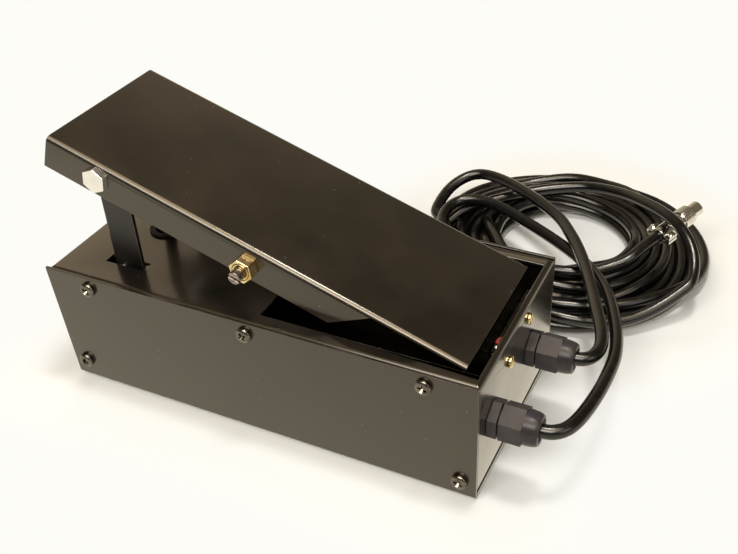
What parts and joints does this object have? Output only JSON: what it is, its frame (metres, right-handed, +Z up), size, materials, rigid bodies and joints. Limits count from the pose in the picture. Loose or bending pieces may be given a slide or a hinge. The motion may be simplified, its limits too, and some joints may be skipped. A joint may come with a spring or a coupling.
{
  "type": "welding foot pedal",
  "caption": "Sheet-metal foot pedal with a sprung, hinged tread that turns a potentiometer through a sector rack and works a switch; two corded plugs.",
  "frame": {"origin": "on the floor under the middle of the object with its glands, without the cords", "axes": "+X from the toe end to the hinge, +Y from the near side to the far side where the coil lies, +Z up"},
  "size_m": [0.2824, 0.2864, 0.1304],
  "materials": {
    "powder": "black powder coat, satin",
    "zinc": "zinc-plated steel",
    "spring_steel": "spring steel wire",
    "brass": "yellow brass",
    "rubber": "black rubber",
    "acetal": "white acetal",
    "switch_plastic": "black moulded plastic",
    "red_plastic": "red plastic",
    "nylon": "black nylon",
    "cord_jacket": "black cord jacket, soft gloss",
    "chrome": "chrome-plated brass"
  },
  "bodies": {
    "base": {"base_shell": "powder", "base_tray": "powder", "side_plate_near": "powder", "side_plate_far": "powder", "side_screws": "zinc", "side_nuts": "zinc", "tray_screws": "zinc", "rubber_feet": "rubber", "hinge_fixed_leaf": "zinc", "hinge_pin": "zinc", "hinge_screws": "brass", "rod_grommet": "rubber", "return_spring": "spring_steel", "spring_cup": "zinc", "pot_body": "zinc", "pot_nut": "zinc", "pot_bracket": "zinc", "bracket_screws": "zinc", "switch_bracket": "zinc", "switch_body": "switch_plastic", "switch_screws": "zinc", "gland_bodies": "nylon", "gland_dome_nuts": "nylon", "gland_locknuts": "nylon", "gland_seals": "rubber", "cord_near": "cord_jacket", "cord_far": "cord_jacket", "coil_outer": "cord_jacket", "coil_inner": "cord_jacket", "cord_near_tail": "cord_jacket", "cord_far_tail": "cord_jacket", "plug_a_shell": "chrome", "plug_a_insert": "switch_plastic", "plug_a_clamp": "chrome", "plug_a_screws": "chrome", "plug_b_shell": "chrome", "plug_b_insert": "switch_plastic", "plug_b_clamp": "chrome", "plug_b_screws": "chrome"},
    "pedal": {"tread": "powder", "leg_yoke": "powder", "hinge_moving_leaf": "zinc", "cross_bolt": "zinc", "cross_nut": "zinc", "spacer_sleeves": "zinc", "push_rod": "zinc", "rod_collar": "zinc", "stop_pins": "zinc", "gear_rack": "acetal", "rack_screws": "zinc", "trim_pot_body": "zinc", "trim_lock_nut": "brass"},
    "trim_shaft": {"trim_shaft": "zinc"},
    "pot_rotor": {"pinion": "acetal", "pot_shaft": "zinc"},
    "lever": {"switch_lever": "zinc", "switch_roller": "acetal"},
    "button": {"switch_button": "red_plastic"},
    "ring_a": {"plug_a_ring": "chrome"},
    "ring_b": {"plug_b_ring": "chrome"}
  },
  "joints": [
    {"name": "pedal_hinge", "type": "hinge", "parent": "base", "child": "pedal", "pos_m": [0.09545, 0, 0.05985], "axis": [0, -1, 0], "range_deg": [0, 7], "stiffness_Nm_per_rad": 16, "springref_deg": -14.32, "deforming": ["return_spring"]},
    {"name": "pot_turn", "type": "hinge", "parent": "base", "child": "pot_rotor", "pos_m": [-0.06762, 0, 0.03635], "axis": [0, -1, 0], "range_deg": [0, 201]},
    {"name": "lever_turn", "type": "hinge", "parent": "base", "child": "lever", "pos_m": [-0.0685, 0, 0.04061], "axis": [0, -1, 0], "range_deg": [0, 4.5]},
    {"name": "button_slide", "type": "slide", "parent": "base", "child": "button", "axis": [-1, 0, 0], "range_m": [0, 0.0005]},
    {"name": "trim_turn", "type": "hinge", "parent": "pedal", "child": "trim_shaft", "pos_m": [-0.01237, 0, 0.08762], "axis": [0, -1, 0], "range_deg": [0, 280]},
    {"name": "ring_a_spin", "type": "hinge", "parent": "base", "child": "ring_a", "pos_m": [0.1305, 0.1475, 0.0248], "axis": [0.4195, 0.8996, 0.1219], "continuous": true},
    {"name": "ring_b_spin", "type": "hinge", "parent": "base", "child": "ring_b", "pos_m": [-0.004, 0.104, 0.006], "axis": [0.6018, -0.7986, 0], "continuous": true}
  ],
  "couplings": [
    {"joint": "pot_turn", "follows": "pedal_hinge", "ratio": 28.459},
    {"joint": "lever_turn", "follows": "pedal_hinge", "ratio": 0.62},
    {"joint": "button_slide", "follows": "pedal_hinge", "m_per_rad": 0.0032}
  ]
}
